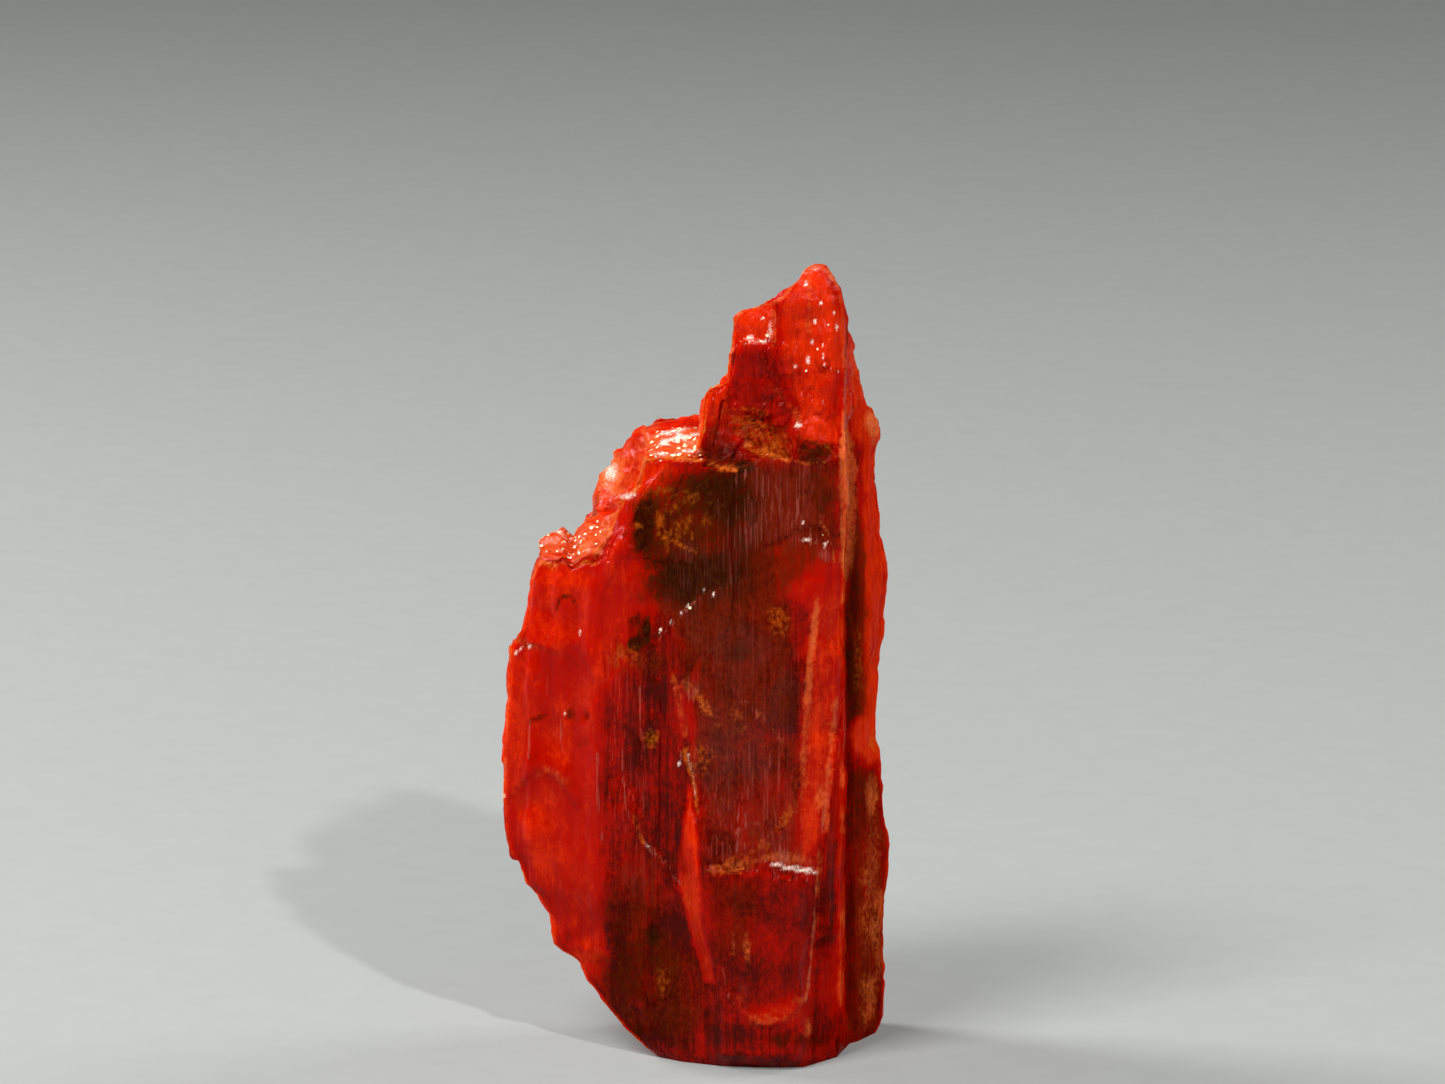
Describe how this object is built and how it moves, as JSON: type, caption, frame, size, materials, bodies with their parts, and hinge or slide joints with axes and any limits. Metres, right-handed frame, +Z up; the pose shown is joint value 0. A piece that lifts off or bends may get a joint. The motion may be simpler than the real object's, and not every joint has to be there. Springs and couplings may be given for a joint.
{
  "type": "crocoite crystal",
  "caption": "Loose orange-red crocoite crystal standing on its broken base: a striated blade with a thin left wedge, a stepped broken peak and lower blades grown on behind.",
  "frame": {"origin": "middle of the crystal's box seen from above, on the flat broken base that it stands on", "axes": "+Z up along the crystal, from the base to the peak; +X to the right of the broad striated front face; +Y to its back"},
  "size_m": [0.0098, 0.006, 0.0207],
  "materials": {
    "crocoite": "glossy, waxy translucent"
  },
  "bodies": {
    "root": {"crocoite_crystal": "crocoite"}
  },
  "joints": []
}
